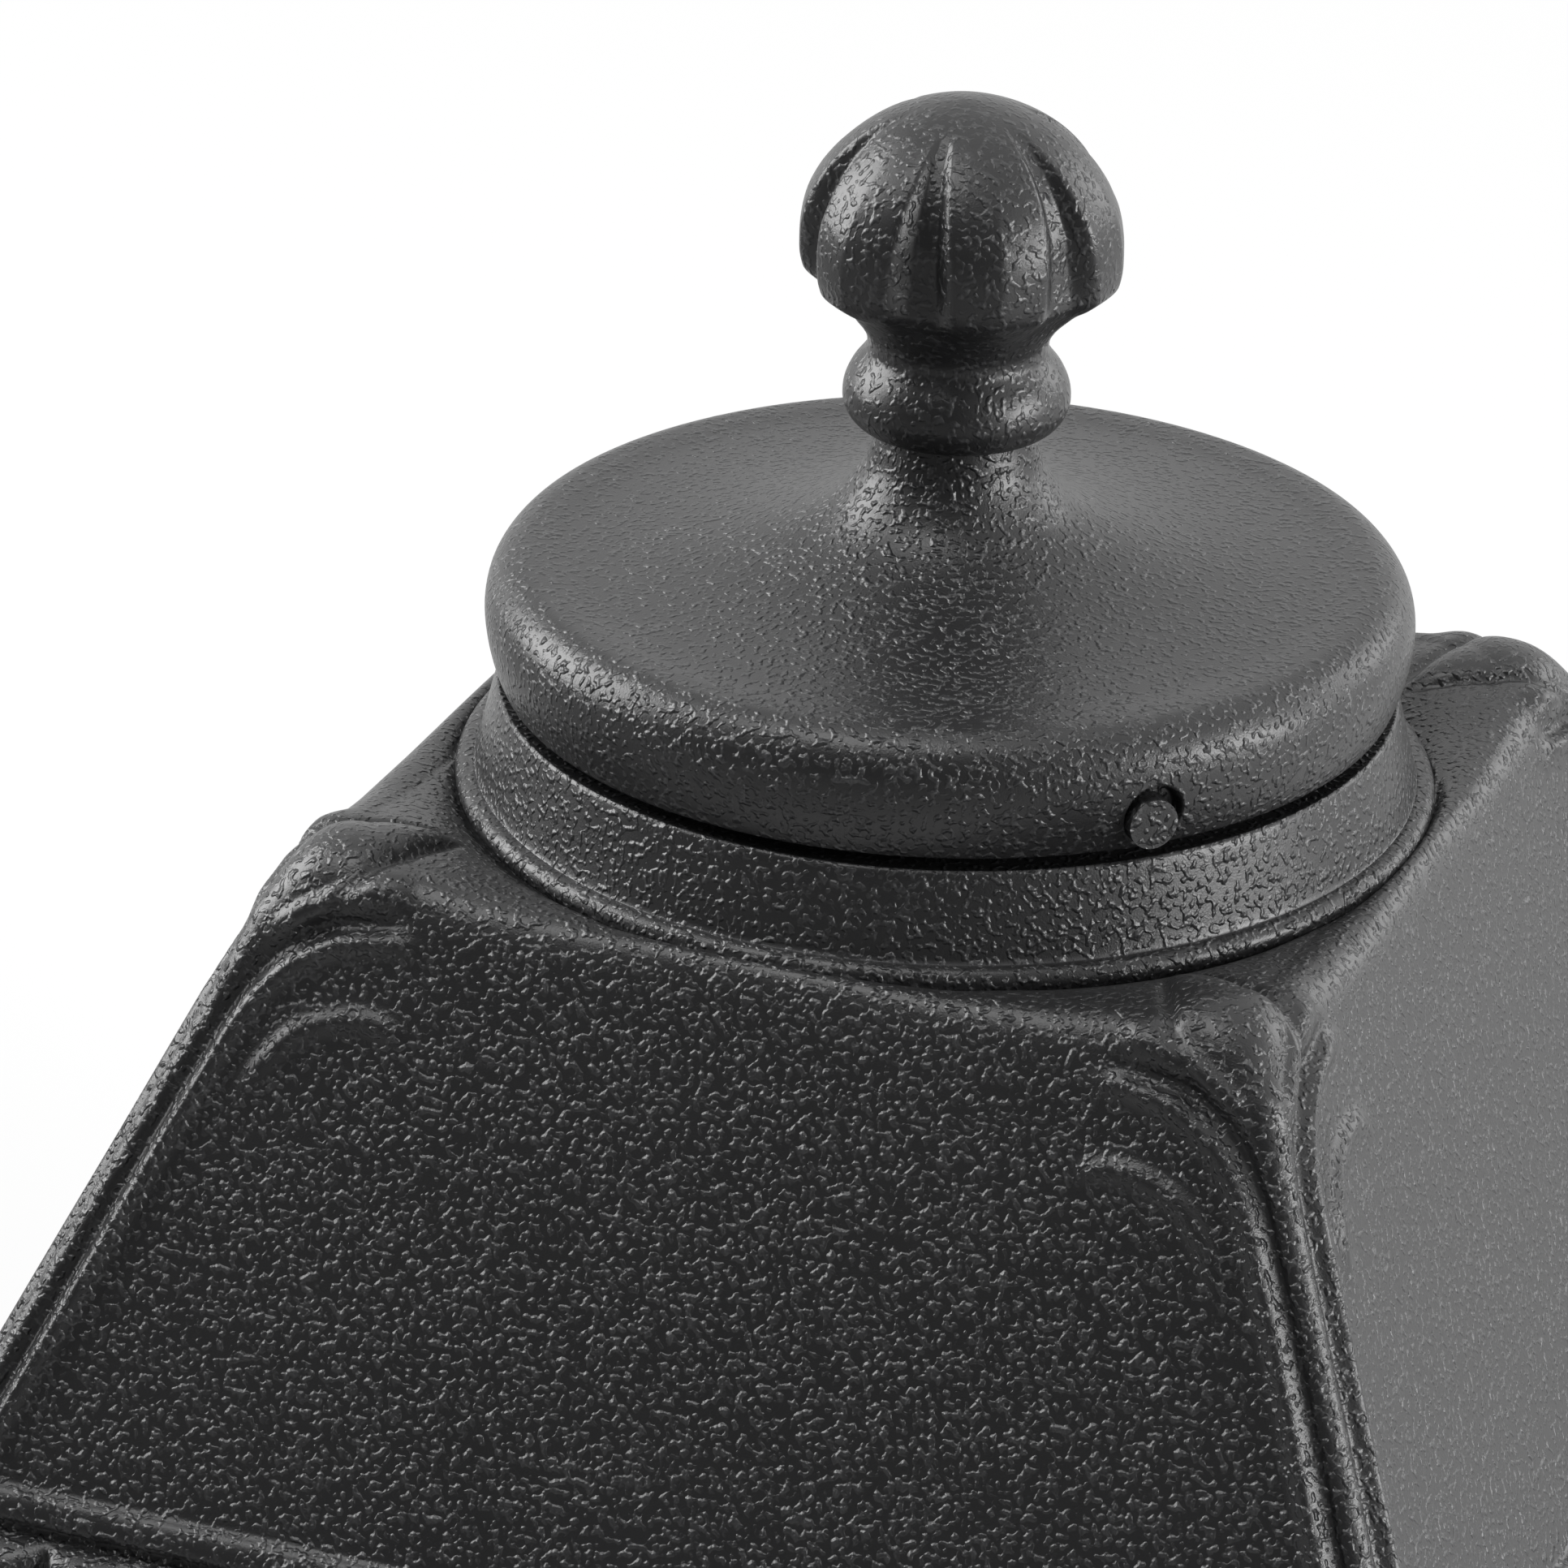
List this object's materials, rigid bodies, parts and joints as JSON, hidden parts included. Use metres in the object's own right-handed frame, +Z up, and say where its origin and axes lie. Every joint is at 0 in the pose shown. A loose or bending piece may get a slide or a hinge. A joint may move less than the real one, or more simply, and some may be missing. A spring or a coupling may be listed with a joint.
{
  "type": "outdoor lantern",
  "caption": "Four-sided pier lantern: fluted finial, lift-off round vent cap, cast roof with hooked ridges, glazed tapering cage, turned pedestal and bolted round foot.",
  "frame": {"origin": "middle of the foot's resting face, the underside of its gasket", "axes": "+Z up along the lantern's axis, roof facets face X and Y, the picture's near dark facet faces -Y"},
  "size_m": [0.1354, 0.1354, 0.392],
  "materials": {
    "coated_casting": "black hammered powder coat",
    "clear_glass": "clear polished",
    "zinc_steel": "zinc plated",
    "black_steel": "black coated",
    "brass": "plain",
    "white_plastic": "matt",
    "black_plastic": "satin",
    "gasket_rubber": "matt",
    "lamp_shell": "satin",
    "opal_glass": "opal"
  },
  "bodies": {
    "lantern": {"foot_gasket": "gasket_rubber", "foot": "coated_casting", "stem": "coated_casting", "tie_tube": "zinc_steel", "tube_nuts": "zinc_steel", "tube_washer": "zinc_steel", "cable_bush": "black_plastic", "terminal_block": "white_plastic", "earth_screw": "brass", "tray": "coated_casting", "tray_screws": "zinc_steel", "side_frame_front": "coated_casting", "side_frame_right": "coated_casting", "side_frame_back": "coated_casting", "side_frame_left": "coated_casting", "pane_front": "clear_glass", "pane_right": "clear_glass", "pane_back": "clear_glass", "pane_left": "clear_glass", "pane_clips": "zinc_steel", "clip_screws": "zinc_steel", "top_ring": "coated_casting", "ring_screws": "zinc_steel", "roof_screws": "zinc_steel", "roof": "coated_casting", "lampholder": "black_plastic"},
    "cap": {"cap": "coated_casting", "cap_screws": "black_steel", "stud_washer": "zinc_steel", "stud_nut": "zinc_steel"},
    "finial": {"finial": "coated_casting", "finial_stud": "zinc_steel"},
    "lamp": {"lamp_base": "lamp_shell", "lamp_globe": "opal_glass"}
  },
  "joints": [
    {"name": "cap_lift", "type": "slide", "parent": "lantern", "child": "cap", "axis": [0, 0, 1], "range_m": [0, 0.02]},
    {"name": "finial_turn", "type": "hinge", "parent": "cap", "child": "finial", "pos_m": [0, 0, 0.3663], "axis": [0, 0, 1], "continuous": true},
    {"name": "lamp_turn", "type": "hinge", "parent": "lantern", "child": "lamp", "pos_m": [0, 0, 0.15], "axis": [0, 0, 1], "continuous": true}
  ]
}
